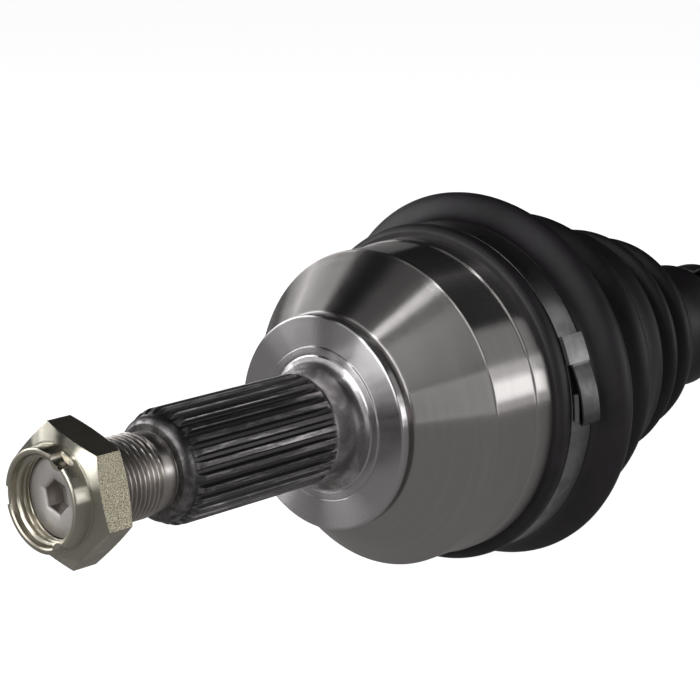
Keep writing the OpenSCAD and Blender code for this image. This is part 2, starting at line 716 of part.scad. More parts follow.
module inboard_boot() {
    lip_r = ib_seat_r + lip_rise;
    seat_end_x = ib_seat_x + large_seat_w;
    end_x = ib_small_x - small_seat_w - end_rim;
    start_x = tulip_mouth_x - 2 * edge_chamfer;
    folds = swings([[start_x, ib_seat_r + edge_chamfer],
        each turning(start_x, -ib_fold_len, ib_fold_r, ib_fold_table),
        [start_x - ib_fold_len, small_seat_r + seat_edge]], fold_steps);
    outer = concat(
        [[seat_end_x + end_rim, tulip_r]], rounded_edge(seat_end_x + end_rim, lip_r, lip_round, -1),
        [[seat_end_x, lip_r], [seat_end_x, ib_seat_r], [ib_seat_x, ib_seat_r],
        [ib_seat_x, ib_seat_r + seat_edge]],
        folds,
        [[ib_small_x + seat_taper, small_seat_r + 2 * edge_chamfer],
        [ib_small_x, small_seat_r + 2 * edge_chamfer],
        [ib_small_x, small_seat_r], [ib_small_x - small_seat_w, small_seat_r],
        [ib_small_x - small_seat_w, small_seat_r + seat_edge],
        [end_x + seat_edge, small_seat_r + seat_edge],
        [end_x, small_seat_r]]);
    inner = concat(
        [[end_x, seat_r], [ib_small_x + seat_taper, seat_r],
        [ib_small_x + seat_taper + 2 * edge_chamfer, small_seat_r - boot_wall + seat_edge]],
        thinned(folds, boot_wall),
        [[tulip_mouth_x, ib_seat_r - boot_wall], [tulip_mouth_x, tulip_r]],
        bead(ib_seat_x, tulip_r));
    color(rubber) turned(concat(outer, inner));
}

// Band clamp: a closed band, with a folded buckle that stands on it
module band_clamp(mid_x, width, seat, buckle_az, buckle_len) {
    color(stainless) union() {
        ring(mid_x - width / 2, width, seat, seat + band_t);
        rotate([buckle_az, 0, 0]) translate([mid_x - width / 2, seat + band_t / 2, -buckle_len / 2])
            cube([width, band_t * 2, buckle_len]);
    }
}

// A strip that leaves the band and lifts from one radius to another between two azimuths
module lifted_tongue(x, width, az, radii) {
    steps = 6;
    path = [for (i = [0 : steps]) let (t = i / steps) [az[0] + (az[1] - az[0])
        * t, radii[0] + (radii[1] - radii[0]) * t]];
    outline = concat([for (p = path) [p[0], p[1] + band_t]], reversed(path));
    along_x(x) linear_extrude(width) polygon([for (p = outline) [-p[1] * sin(p[0]), p[1] * cos(p[0])]]);
}

module outboard_large_clamp() {
    mid_x = ob_seat_x + large_seat_w / 2;
    color(stainless) union() {
        band_clamp(mid_x, large_band_w, ob_seat_r, ob_buckle_az, ob_buckle_len);
        lifted_tongue(mid_x - large_band_w / 2 + edge_chamfer, large_band_w - 2 * edge_chamfer,
            [ob_buckle_az - tongue_half_az, ob_buckle_az + tongue_half_az],
            [ob_seat_r + band_t / 2, ob_seat_r + tongue_lift]);
    }
}
module outboard_small_clamp() {
    band_clamp(ob_small_x + small_seat_w / 2, small_band_w, small_seat_r, small_buckle_az,
        small_buckle_len);
}
module inboard_large_clamp() {
    band_clamp(ib_seat_x + large_seat_w / 2, large_band_w, ib_seat_r, ib_buckle_az, ib_buckle_len);
}
module inboard_small_clamp() {
    band_clamp(ib_small_x - small_seat_w / 2, small_band_w, small_seat_r, small_buckle_az,
        small_buckle_len);
}

hub_nut();
outboard_housing();
outboard_inner_race();
outboard_cage();
outboard_balls();
outboard_race_circlip();
outboard_stop_ring();
outboard_boot();
outboard_large_clamp();
outboard_small_clamp();
bar_shaft();
tripod_spider();
roller_top();
roller_left();
roller_right();
needles_top();
needles_left();
needles_right();
roller_washers();
roller_circlips();
spider_circlip();
spider_stop_ring();
inboard_housing();
stub_circlip();
inboard_boot();
inboard_large_clamp();
inboard_small_clamp();
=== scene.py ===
# %% [markdown]
# # A front-wheel drive shaft, dressed for its picture
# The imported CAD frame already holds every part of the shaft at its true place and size.
# This lesson keeps the parts whose shape is right and gives them better finishes. The ones that
# the camera sees from close by are made again with finer detail: the hub stub with its cut thread
# and spline, the nut, the rubber boots and the steel clamps.
# The shaft lies along +X, +Z is up, and the origin is the centre of the thrust face.

import math

import bpy
import numpy as np
from mathutils import Matrix, Vector


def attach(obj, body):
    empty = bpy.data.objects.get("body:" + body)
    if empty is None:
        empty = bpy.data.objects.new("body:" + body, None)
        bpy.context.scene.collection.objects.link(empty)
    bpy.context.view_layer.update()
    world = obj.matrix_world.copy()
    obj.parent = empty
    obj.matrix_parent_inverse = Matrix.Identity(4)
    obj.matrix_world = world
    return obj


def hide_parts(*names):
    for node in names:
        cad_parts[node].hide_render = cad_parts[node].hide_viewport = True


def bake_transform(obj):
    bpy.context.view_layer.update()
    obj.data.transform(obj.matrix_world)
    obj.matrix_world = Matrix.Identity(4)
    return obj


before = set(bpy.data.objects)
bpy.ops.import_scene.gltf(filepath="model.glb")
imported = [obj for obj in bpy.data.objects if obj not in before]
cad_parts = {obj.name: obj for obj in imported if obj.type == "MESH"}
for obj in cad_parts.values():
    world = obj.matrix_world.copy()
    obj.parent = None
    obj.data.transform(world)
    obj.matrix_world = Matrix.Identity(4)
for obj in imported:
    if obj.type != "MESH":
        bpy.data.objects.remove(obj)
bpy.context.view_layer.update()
MM = 0.001

# %% [markdown]
# ## The camera
# The shaft is seen from the front and a little above, so that it runs away to the right. The three
# directions below are the camera's own right, up and forward. A long lens keeps the far end of the
# boot from shrinking too fast.

# %% Place the camera
CAMERA_PLACE = Vector((-0.4232, -0.3966, 0.1552))
CAMERA_RIGHT = Vector((0.6737, -0.7390, 0.0))
CAMERA_UP = Vector((0.1675, 0.1527, 0.9740))
CAMERA_FORWARD = Vector((0.7198, 0.6562, -0.2266))
LENS_MM = 114.5

camera = bpy.data.objects.new("camera", bpy.data.cameras.new("camera"))
bpy.context.collection.objects.link(camera)
turn = Matrix((CAMERA_RIGHT, CAMERA_UP, -CAMERA_FORWARD)).transposed()
camera.matrix_world = Matrix.Translation(CAMERA_PLACE) @ turn.to_4x4()
camera.data.lens = LENS_MM
camera.data.sensor_width = 36
camera.data.clip_start = 0.01
camera.data.clip_end = 50
bpy.context.scene.camera = camera
print("lens in mm:", LENS_MM)

# %% [markdown]
# ## Meshes for turned parts
# Nearly all of a drive shaft comes off a lathe, so most pieces are a surface that goes round the
# shaft axis. A ring of points is made for each station, and its radius may change with the angle,
# which is how teeth, threads and hexagons fit in the same grid. The rings run over the outside,
# round the end and back along the inside, so that each piece is closed.

# %% Helpers for turned parts
def even_angles(steps):
    return np.arange(steps) * 2 * np.pi / steps


def add_mesh(name, points_mm, faces, materials, sharp=32):
    """A new object from points in millimetres. Edges that bend more than sharp degrees stay crisp."""
    mesh = bpy.data.meshes.new(name)
    mesh.from_pydata((np.asarray(points_mm) * MM).tolist(), [], faces)
    mesh.update()
    mesh.shade_smooth()
    mesh.set_sharp_from_angle(angle=math.radians(sharp))
    for material in materials:
        mesh.materials.append(material)
    piece = bpy.data.objects.new(name, mesh)
    bpy.context.collection.objects.link(piece)
    return piece


def ring_grid(stations, radii, angles, closed):
    """Points and faces of rings round the axis.

    Closed rings join the last to the first. Open ones end in a point on the axis at both ends.
    """
    radii = np.asarray(radii, float)
    stations = np.broadcast_to(np.asarray(stations, float)[:, None], radii.shape)
    rings, steps = radii.shape
    points = np.stack([stations, radii * np.cos(angles), radii * np.sin(angles)], -1).reshape(-1, 3)
    here = np.arange(steps)
    after = (here + 1) % steps
    faces = []
    for j in range(rings if closed else rings - 1):
        low, high = j * steps, (j + 1) % rings * steps
        faces += np.stack([low + here, low + after, high + after, high + here], -1).tolist()
    if not closed:
        first, last = len(points), len(points) + 1
        points = np.vstack([points, [[stations[0, 0], 0, 0], [stations[-1, 0], 0, 0]]])
        low = (rings - 1) * steps
        faces += [[first, int(b), int(a)] for a, b in zip(here, after)]
        faces += [[last, low + int(a), low + int(b)] for a, b in zip(here, after)]
    return points, faces


def rounded(outline, steps=4):
    """An outline of [station, radius, corner radius] points, with each corner turned into a small arc."""
    out = []
    for i, (x, r, corner) in enumerate(outline):
        if corner == 0 or i in (0, len(outline) - 1):
            out.append([x, r])
            continue
        here = np.array([x, r], float)
        back = np.array(outline[i - 1][:2], float) - here
        ahead = np.array(outline[i + 1][:2], float) - here
        reach = min(corner, 0.45 * np.linalg.norm(back), 0.45 * np.linalg.norm(ahead))
        a = here + back / np.linalg.norm(back) * reach
        b = here + ahead / np.linalg.norm(ahead) * reach
        for k in range(steps + 1):
            t = k / steps
            out.append(list((1 - t) ** 2 * a + 2 * t * (1 - t) * here + t ** 2 * b))
    return out


def turned(name, outline, materials, steps=192, sharp=32):
    """A closed turned piece from a closed outline of [station, radius] points."""
    outline = np.array(outline, float)
    radii = np.repeat(outline[:, 1:2], steps, 1)
    points, faces = ring_grid(outline[:, 0], radii, even_angles(steps), closed=True)
    return add_mesh(name, points, faces, materials, sharp)


def smooth_step(t):
    t = np.clip(t, 0, 1)
    return t * t * (3 - 2 * t)


# %% [markdown]
# ## Finishes
# Small helpers keep the node trees short: `feed` links a socket or sets its value, `add` makes a
# node and feeds it, and `calc` is one step of arithmetic. Effects that several finishes share are
# node groups, built once.

# %% Helpers for node trees
def feed(tree, socket, value):
    if isinstance(value, bpy.types.NodeSocket):
        tree.links.new(value, socket)
    else:
        socket.default_value = value


def add(tree, kind, inputs=None, **settings):
    node = tree.nodes.new(kind)
    for name, value in settings.items():
        setattr(node, name, value)
    for key, value in (inputs or {}).items():
        feed(tree, node.inputs[key], value)
    return node


def calc(tree, operation, a, b=0.0):
    return add(tree, "ShaderNodeMath", {0: a, 1: b}, operation=operation).outputs[0]


def weigh(tree, a, share_a, b, share_b):
    """The sum of two values, each times its share."""
    return calc(tree, "ADD", calc(tree, "MULTIPLY", a, share_a), calc(tree, "MULTIPLY", b, share_b))


def axis_distance(tree, axes):
    """How far a place lies from the shaft axis: the root of Y times Y plus Z times Z."""
    return calc(tree, "SQRT", weigh(tree, axes[1], axes[1], axes[2], axes[2]))


def soft_range(tree, value, low, high):
    """0 below low, 1 above high, and a smooth rise between them."""
    return add(tree, "ShaderNodeMapRange", {0: value, 1: low, 2: high}, interpolation_type="SMOOTHSTEP").outputs[0]


def new_group(name, inputs, outputs):
    """A shader node group with float inputs and outputs, and its two end nodes."""
    tree = bpy.data.node_groups.new(name, "ShaderNodeTree")
    for label, value in inputs.items():
        tree.interface.new_socket(label, in_out="INPUT", socket_type="NodeSocketFloat").default_value = value
    for label in outputs:
        tree.interface.new_socket(label, in_out="OUTPUT", socket_type="NodeSocketFloat")
    return tree, tree.nodes.new("NodeGroupInput").outputs, tree.nodes.new("NodeGroupOutput").inputs


def use_group(tree, group, **values):
    node = tree.nodes.new("ShaderNodeGroup")
    node.node_tree = group
    for label, value in values.items():
        feed(tree, node.inputs[label], value)
    return node.outputs


# %% [markdown]
# ### Lathe marks
# A lathe tool leaves rings. Their place depends on the station and on the radius, so the group adds
# the two and reads a noise along that sum. A second, slower noise goes round the shaft, because no
# cut is equally deep all the way round.

# %% Group: lathe marks
lathe_marks, given, result = new_group(
    "lathe marks", {"Rings": 2600.0, "Bands": 420.0, "Round": 1.2}, ["Tone", "Height"])
place = add(lathe_marks, "ShaderNodeTexCoord").outputs["Object"]
axes = add(lathe_marks, "ShaderNodeSeparateXYZ", {0: place}).outputs
radius = axis_distance(lathe_marks, axes)
along = calc(lathe_marks, "ADD", axes[0], radius)
side_y = calc(lathe_marks, "MULTIPLY", calc(lathe_marks, "DIVIDE", axes[1], radius), given["Round"])
side_z = calc(lathe_marks, "MULTIPLY", calc(lathe_marks, "DIVIDE", axes[2], radius), given["Round"])
cuts = []
for pace in ("Rings", "Bands"):
    at = add(lathe_marks, "ShaderNodeCombineXYZ", {
        0: calc(lathe_marks, "MULTIPLY", along, given[pace]), 1: side_y, 2: side_z}).outputs[0]
    cuts.append(add(lathe_marks, "ShaderNodeTexNoise", {"Vector": at, "Scale": 1.0, "Detail": 2.0}).outputs[0])
feed(lathe_marks, result["Tone"], weigh(lathe_marks, cuts[0], 0.5, cuts[1], 0.5))
feed(lathe_marks, result["Height"], cuts[0])

# %% [markdown]
# ### Fine grain and smears
# Plated, sprayed and moulded surfaces all carry a fine grain, and every handled part carries faint
# smears of oil. Both groups read noise in the object's own coordinates, so they stay put when the
# part turns.

# %% Groups: grain and smears
fine_grain, given, result = new_group("fine grain", {"Scale": 2500.0, "Roughness": 0.6}, ["Value"])
place = add(fine_grain, "ShaderNodeTexCoord").outputs["Object"]
noise = add(fine_grain, "ShaderNodeTexNoise", {
    "Vector": place, "Scale": given["Scale"], "Detail": 3.0, "Roughness": given["Roughness"]})
feed(fine_grain, result["Value"], noise.outputs[0])

smears, given, result = new_group("smears", {"Scale": 60.0, "Low": 0.4, "High": 0.62}, ["Mask"])
place = add(smears, "ShaderNodeTexCoord").outputs["Object"]
noise = add(smears, "ShaderNodeTexNoise", {
    "Vector": place, "Scale": given["Scale"], "Detail": 5.0, "Distortion": 0.8})
feed(smears, result["Mask"], soft_range(smears, noise.outputs[0], given["Low"], given["High"]))


# %% [markdown]
# ### One maker for all finishes
# Each finish mixes two colours and two roughnesses by masks from the groups, and adds a little
# relief. The maker keeps the Principled shader inside the material, and constants stay on its own
# sockets.

# %% Helper: a finish
def mix_color(tree, factor, a, b):
    node = add(tree, "ShaderNodeMix", {"Factor": factor}, data_type="RGBA")
    feed(tree, node.inputs[6], (*a, 1) if isinstance(a, tuple) else a)
    feed(tree, node.inputs[7], (*b, 1) if isinstance(b, tuple) else b)
    return node.outputs[2]


def mix_value(tree, factor, a, b):
    return add(tree, "ShaderNodeMapRange", {0: factor, 3: a, 4: b}).outputs[0]


def finish(name, metallic, specular=0.5, anisotropic=0.0, anisotropic_turn=0.0, coat=0.0, coat_roughness=0.03):
    """A new material. Returns it with its tree and its Principled shader."""
    material = bpy.data.materials.new(name)
    material.use_nodes = True
    tree = material.node_tree
    shader = tree.nodes["Principled BSDF"]
    shader.inputs["Metallic"].default_value = metallic
    shader.inputs["Specular IOR Level"].default_value = specular
    shader.inputs["Anisotropic"].default_value = anisotropic
    shader.inputs["Anisotropic Rotation"].default_value = anisotropic_turn
    shader.inputs["Coat Weight"].default_value = coat
    shader.inputs["Coat Roughness"].default_value = coat_roughness
    return material, tree, shader.inputs


def relief(tree, sockets, height, strength, depth):
    bump = add(tree, "ShaderNodeBump", {"Strength": strength, "Distance": depth, "Height": height})
    feed(tree, sockets["Normal"], bump.outputs[0])


# %% [markdown]
# ### Turned steel
# The cone of the joint shows bright and dark wedges that run out from the axis. They come from the
# rings the tool leaves: they spread a reflection across the grooves. The shader's anisotropy does
# that, with a tangent that goes round the shaft. The nut's bevel is cut on a lathe too.

# %% Finish: turned steel
def turned_steel(name, light, dark, smooth, rough, spread):
    material, tree, sockets = finish(name, metallic=1.0, anisotropic=spread, anisotropic_turn=0.25)
    marks = use_group(tree, lathe_marks)
    oil = use_group(tree, smears, Scale=45.0, Low=0.42, High=0.7)
    feed(tree, sockets["Base Color"], mix_color(tree, marks["Tone"], dark, light))
    worn = weigh(tree, marks["Tone"], 0.6, oil["Mask"], 0.4)
    feed(tree, sockets["Roughness"], mix_value(tree, worn, smooth, rough))
    feed(tree, sockets["Tangent"], add(tree, "ShaderNodeTangent", direction_type="RADIAL", axis="X").outputs[0])
    relief(tree, sockets, marks["Height"], 0.25, 0.00002)
    return material


bell_steel = turned_steel("turned bell steel", (0.60, 0.575, 0.565), (0.47, 0.45, 0.445), 0.24, 0.28, 1.0)
# The thrust face is the same turned steel made lighter: painted light.
lit_face_steel = turned_steel("turned thrust face, painted lighter", (0.74, 0.72, 0.73), (0.62, 0.60, 0.61), 0.24, 0.28, 1.0)
nut_steel = turned_steel("turned nut bevel", (0.68, 0.65, 0.56), (0.52, 0.495, 0.42), 0.24, 0.3, 1.0)
print("turned finishes:", [steel.name for steel in (bell_steel, lit_face_steel, nut_steel)])

# %% [markdown]
# ### Oiled and plated steel
# The thread, the neck and the inner parts keep a thin film of dark oil from heat treatment. Smears
# make it patchy, and a fine grain breaks up the reflections. The chamfer before the spline is
# nearly black with it. The nut's plating has a straw tint, and the clamps are stainless. The clamp
# on the bell is a darker copy of them, painted shade, and its raised tongue is darker still.

# %% Finishes: oiled and plated steel
def oiled_steel(name, light, dark, smooth, rough, scale=70.0, grain=1800.0, depth=0.00003):
    material, tree, sockets = finish(name, metallic=1.0)
    rubbed = use_group(tree, smears, Scale=scale, Low=0.38, High=0.66)
    speck = use_group(tree, fine_grain, Scale=grain)
    blend = weigh(tree, rubbed["Mask"], 0.7, speck["Value"], 0.3)
    feed(tree, sockets["Base Color"], mix_color(tree, blend, dark, light))
    feed(tree, sockets["Roughness"], mix_value(tree, blend, rough, smooth))
    relief(tree, sockets, speck["Value"], 0.3, depth)
    return material


stud_steel = oiled_steel("stud steel", (0.66, 0.62, 0.59), (0.46, 0.43, 0.41), 0.28, 0.42)
end_steel = oiled_steel("stud end face", (0.80, 0.77, 0.75), (0.62, 0.60, 0.58), 0.45, 0.6)
neck_steel = oiled_steel("oiled neck steel", (0.70, 0.675, 0.68), (0.20, 0.19, 0.19), 0.24, 0.42, scale=110.0)
chamfer_steel = oiled_steel("oiled chamfer", (0.34, 0.33, 0.33), (0.085, 0.08, 0.08), 0.3, 0.5,
                            scale=240.0, grain=2000.0, depth=0.00008)
housing_steel = oiled_steel("housing steel", (0.38, 0.37, 0.36), (0.24, 0.235, 0.23), 0.3, 0.45)
ground_steel = oiled_steel("ground bearing steel", (0.66, 0.66, 0.67), (0.52, 0.52, 0.53), 0.12, 0.22)
cage_steel = oiled_steel("phosphated cage steel", (0.13, 0.13, 0.135), (0.08, 0.08, 0.083), 0.38, 0.5)
spring_steel = oiled_steel("blackened spring steel", (0.09, 0.09, 0.095), (0.05, 0.05, 0.052), 0.3, 0.42)
bright_plating = oiled_steel("bright nut plating", (0.68, 0.645, 0.55), (0.54, 0.505, 0.42), 0.24, 0.36,
                             scale=120.0, grain=2600.0)
smooth_plating = oiled_steel("smooth nut flats", (0.74, 0.70, 0.60), (0.52, 0.485, 0.41), 0.3, 0.42,
                             scale=120.0, grain=2600.0)
band_steel = oiled_steel("stainless band", (0.60, 0.59, 0.59), (0.45, 0.445, 0.44), 0.24, 0.36,
                         scale=140.0, grain=900.0)
# Painted shade: the clamp on the bell is darker than the stainless band, and its tongue darker still.
shaded_buckle_steel = oiled_steel("buckled band with painted shade", (0.43, 0.42, 0.43), (0.26, 0.255, 0.26), 0.26, 0.4,
                           scale=140.0, grain=900.0)
shaded_tongue_steel = oiled_steel("clamp tongue with painted shade", (0.18, 0.175, 0.18), (0.11, 0.107, 0.11), 0.26, 0.4,
                           scale=140.0, grain=900.0)
print("bright finishes:", [steel.name for steel in (bright_plating, smooth_plating, band_steel)])

# %% [markdown]
# Every second flat of the nut shows a coarse sparkling grain, as of a forging, under its plating.
# A voronoi pattern gives every grain its own tone, and the same grains stand up a little from the
# surface.

# %% Finish: grained flats
grained_plating, tree, sockets = finish("grained nut flats", metallic=1.0)
place = add(tree, "ShaderNodeTexCoord").outputs["Object"]
grains = add(tree, "ShaderNodeTexVoronoi", {"Vector": place, "Scale": 2600.0})
speck = use_group(tree, fine_grain, Scale=2100.0)
blend = weigh(tree, grains.outputs["Distance"], 0.9, speck["Value"], 0.5)
sparkle = add(tree, "ShaderNodeMapRange", {0: blend, 1: 0.5, 2: 0.95}).outputs[0]
feed(tree, sockets["Base Color"], mix_color(tree, sparkle, (1.0, 0.93, 0.72), (0.52, 0.475, 0.355)))
feed(tree, sockets["Roughness"], mix_value(tree, speck["Value"], 0.36, 0.5))
relief(tree, sockets, grains.outputs["Distance"], 0.6, 0.0003)
print("grained finish:", grained_plating.name)

# %% [markdown]
# ### The spline
# The teeth are rolled. The radius tells crest from root: the roots stay dark with oil and painted
# shade, and the crests carry bright streaks along the shaft, where they have rubbed on a hub, and a
# painted highlight. A noise that is drawn out along the shaft breaks the streaks up.

# %% Finish: spline steel
CREST_FROM, CREST_FULL = 0.0147, 0.01525
spline_steel, tree, sockets = finish("rubbed spline steel, painted crest highlight and root shade", metallic=1.0)
place = add(tree, "ShaderNodeTexCoord").outputs["Object"]
axes = add(tree, "ShaderNodeSeparateXYZ", {0: place}).outputs
# Painted shade in the roots and a painted highlight on the crests, chosen by the radius.
crest = soft_range(tree, axis_distance(tree, axes), CREST_FROM, CREST_FULL)
drawn_out = add(tree, "ShaderNodeMapping", {"Vector": place, "Scale": (0.12, 1.0, 1.0)}).outputs[0]
streaks = add(tree, "ShaderNodeTexNoise", {"Vector": drawn_out, "Scale": 560.0, "Detail": 6.0, "Roughness": 0.7})
bare = soft_range(tree, streaks.outputs[0], 0.46, 0.6)
speck = use_group(tree, fine_grain, Scale=1500.0)
crest_wear_and_painted_highlight = calc(tree, "MULTIPLY", crest, weigh(tree, bare, 0.8, speck["Value"], 0.3))
feed(tree, sockets["Base Color"], mix_color(tree, crest_wear_and_painted_highlight, (0.10, 0.096, 0.098), (0.46, 0.44, 0.44)))
feed(tree, sockets["Roughness"], mix_value(tree, crest_wear_and_painted_highlight, 0.5, 0.34))
relief(tree, sockets, streaks.outputs[0], 0.35, 0.00012)
print("spline finish:", spline_steel.name)


# %% [markdown]
# ### Rubber and paint
# The boots are moulded from a satin black thermoplastic. It isn't quite black, and the light
# catches it softly on the outside of each fold. The bar between the joints is painted black.

# %% Finishes: boot rubber and bar paint
def dark_coating(name, light, dark, smooth, rough, grain, depth, coat=0.0):
    material, tree, sockets = finish(name, metallic=0.0, specular=0.55, coat=coat, coat_roughness=0.2)
    dust = use_group(tree, smears, Scale=55.0, Low=0.4, High=0.72)
    speck = use_group(tree, fine_grain, Scale=grain)
    feed(tree, sockets["Base Color"], mix_color(tree, dust["Mask"], dark, light))
    feed(tree, sockets["Roughness"], mix_value(tree, speck["Value"], smooth, rough))
    relief(tree, sockets, speck["Value"], 0.25, depth)
    return material


boot_rubber = dark_coating("boot rubber", (0.026, 0.0215, 0.026), (0.015, 0.0125, 0.015), 0.42, 0.55,
                           grain=1400.0, depth=0.00004)
bar_paint = dark_coating("bar paint", (0.016, 0.016, 0.017), (0.010, 0.010, 0.011), 0.25, 0.4,
                         grain=900.0, depth=0.00005, coat=0.3)
print("dark finishes:", [coating.name for coating in (boot_rubber, bar_paint)])

# %% [markdown]
# ## The hub stub
# The outboard joint's housing is one forging: a threaded end, a splined shank, a flat thrust face
# and the bell. All of it is one grid of rings. The grid has more points round each tooth, where the
# shape changes, and more rings along the thread, where a helix passes through the rings.
#
# Sizes are in millimetres. A tooth offset is a share of the space that one tooth takes, and the
# tooth share is 1 on its crest and 0 in its root.

# %% Sizes of the hub stub
STUD_END, STUD_R, PITCH = -92.6, 11.0, 1.5
THREAD_DEPTH = 0.92
THREAD_BACK, RELIEF_BACK = -65.6, -62.0
RECESS_AF, RECESS_DEPTH = 7.6, 5.0
TEETH, SPLINE_R, TOOTH_H = 28, 15.2, 1.3
THRUST_R, BELL_R = 29.6, 44.9
CREST_HALF, FLANK = 0.17, 0.2
tooth_offsets = np.array([-0.5, -0.42, -0.37, -0.34, -0.31, -0.27, -0.235, -0.205, -0.17, -0.1,
                          0.0, 0.1, 0.17, 0.205, 0.235, 0.27, 0.31, 0.34, 0.37, 0.42])
stub_angles = ((np.arange(TEETH)[:, None] + tooth_offsets) * 2 * np.pi / TEETH).ravel()
tooth_share = np.tile(1 - smooth_step((np.abs(tooth_offsets) - CREST_HALF) / FLANK), TEETH)
print("points round the stub:", len(stub_angles))


# %% Helpers for rings that aren't round
def thread_radius(x, angles, crest, depth, pitch, inner=False):
    """Radius of a one-start thread at station x: flat crests and roots with sloped flanks between."""
    phase = (x / pitch - angles / (2 * np.pi)) % 1
    away = np.abs(phase - 0.5) * 2
    share = smooth_step((away - 0.2) / 0.6)
    return crest + depth * share if inner else crest - depth * share


def hexagon_radius(angles, flats, clock):
    sector = (angles - clock) % (np.pi / 3) - np.pi / 6
    return flats / 2 / np.cos(sector)


def angle_from(angles, centre):
    """The angles as seen from centre, each within half a turn of it."""
    return (angles - centre + np.pi) % (2 * np.pi) - np.pi


# %% [markdown]
# The rings start at the bottom of the hexagonal recess in the stud's end, come out over its rim,
# and follow the thread. A cone leads the thread in, and its groove runs out before the relief,
# where the threading tool had room to stop.

# %% Rings of the threaded end
stub_x, stub_r = [], []


def ring(x, r):
    stub_x.append(x)
    stub_r.append(np.broadcast_to(np.asarray(r, float), stub_angles.shape).copy())


RECESS_CLOCK = 0.3
LEAD_R, RUN_OUT_LENGTH, RUN_OUT_FALL = 9.75, 2.2, 0.6
recess = hexagon_radius(stub_angles, RECESS_AF, RECESS_CLOCK)
ring(STUD_END + RECESS_DEPTH + 1.0, 0.4)
ring(STUD_END + RECESS_DEPTH, recess * 0.8)
ring(STUD_END + RECESS_DEPTH, recess)
ring(STUD_END + 0.45, recess)
ring(STUD_END + 0.15, recess + 0.25)
ring(STUD_END, recess + 0.6)
ring(STUD_END, 6.5)
ring(STUD_END, 9.2)
ring(STUD_END + 0.25, 9.7)
for x in np.arange(STUD_END + 0.3, THREAD_BACK - 0.02, 0.11):
    lead = LEAD_R + (x - STUD_END)
    ending = smooth_step((x - THREAD_BACK + RUN_OUT_LENGTH) / 2.0)
    thread = thread_radius(x, stub_angles, STUD_R, THREAD_DEPTH * (1 - ending), PITCH)
    ring(x, np.minimum(thread - RUN_OUT_FALL * ending, lead))
relief_outline = [[THREAD_BACK, 10.4, 0], [-62.8, 10.4, 0.5], [-62.4, 10.0, 0.2], [RELIEF_BACK, 10.0, 0.2],
                  [RELIEF_BACK, 11.6, 0.2]]
for x, r in rounded(relief_outline):
    ring(x, r)
print("rings up to the spline:", len(stub_x))

# %% [markdown]
# The spline starts with a chamfer: the list says how far below the crests the cut lies at each
# station. At the back the roots rise in an arc, where the rolling tool has lifted out.

# %% Rings of the spline
chamfer = [(RELIEF_BACK, 3.2), (-61.9, 3.0), (-61.2, 2.2), (-60.4, 1.6), (-59.6, 1.32), (-58.9, 1.2), (-58.2, 0.75),
           (-57.5, 0.32), (-56.9, 0.08), (-56.3, 0)]
tooth = SPLINE_R - TOOTH_H * (1 - tooth_share)
for x, depth in chamfer + [(x, 0) for x in (-50, -40, -30, -22, -17)]:
    ring(x, np.minimum(tooth, SPLINE_R - depth))
RISE_FRONT, RISE_BACK, RISE_R = -16.2, -9.8, 6.5
for x in np.linspace(RISE_FRONT, RISE_BACK, 15):
    rise = 1 - math.sqrt(max(0.0, 1 - ((x - RISE_FRONT) / RISE_R) ** 2))
    root = SPLINE_R - TOOTH_H * (1 - rise)
    ring(x, root + (SPLINE_R - root) * tooth_share)
print("rings up to the neck:", len(stub_x))

# %% [markdown]
# The neck widens into the thrust face, which has a fine groove near its inner edge. Behind it come
# the undercut, the cone and the bell, with the groove that holds the boot's cuff.

# %% Rings of the thrust face, the cone and the bell
neck = [[-9.5, SPLINE_R, 0], [-9.0, 15.35, 0.3], [-4.6, 15.4, 0.6], [-2.4, 15.7, 1.0], [-0.7, 17.1, 1.4],
        [-0.25, 18.4, 0.3]]
thrust_face = [[-0.05, 18.7, 0.08], [-0.05, 19.0, 0.05], [-0.3, 19.15, 0.05], [-0.3, 20.9, 0.1],
               [0.12, 21.15, 0.05], [0.0, 21.45, 0.05], [0.0, THRUST_R - 0.5, 0.3], [0.35, THRUST_R, 0.3]]
undercut = [[2.3, THRUST_R, 0.15], [2.5, 27.5, 0.3], [4.1, 27.4, 0.3], [4.35, 29.7, 0.2]]
cone = [[4.7, 30.1, 0.3], [21.3, 43.85, 0.25], [21.6, 44.25, 0.3], [37.5, 44.3, 0.2]]
bell = [[38.0, BELL_R, 0.25], [50.8, BELL_R, 0], [51.4, 44.0, 0], [54.4, 44.0, 0], [55.0, BELL_R, 0],
        [60.0, BELL_R, 0.5], [61.0, 43.9, 0.5], [61.0, 36.5, 0]]
for x, r in rounded(neck + thrust_face + undercut + cone + bell):
    ring(x, r)
print("rings up to the mouth:", len(stub_x))

# %% [markdown]
# The inside of the bell is a sphere with six ball tracks. Each track is part of a torus, whose
# circle the ball centres follow. For every ring, a fan of trial radii finds how far out the sphere
# or a track reaches, and the largest one wins. The mouth widens like a funnel, and the tracks run
# out through it, so that the balls have room when the joint is fully bent.

# %% Inside of the bell
JOINT_X, SPHERE_R = 43.0, 34.1
BALL_R, BALL_CIRCLE, TRACK_ROOM, TRACK_END = 9.525, 29.0, 1.35, math.radians(46)
THROAT_REACH, THROAT_R = 14, 30.8
MOUTH_FRONT, MOUTH_BACK, MOUTH_SLOPE = 57.0, 61.0, 1.3
trial = np.arange(0.0, 40.5, 0.05)[:, None]


def cavity_radius(x):
    reach = x - JOINT_X
    sphere = math.sqrt(max(0.0, SPHERE_R ** 2 - reach ** 2))
    inside = np.full(stub_angles.shape, THROAT_R if reach > THROAT_REACH else sphere)
    for azimuth in range(30, 390, 60):
        off = angle_from(stub_angles, math.radians(azimuth))
        in_plane = np.hypot(reach, trial * np.cos(off))
        hit = np.hypot(in_plane - BALL_CIRCLE, trial * np.sin(off)) <= BALL_R + TRACK_ROOM
        hit &= (np.cos(off) > 0) & (np.arctan2(-reach, trial * np.cos(off)) < TRACK_END)
        inside = np.maximum(inside, (trial * hit).max(0))
    return inside


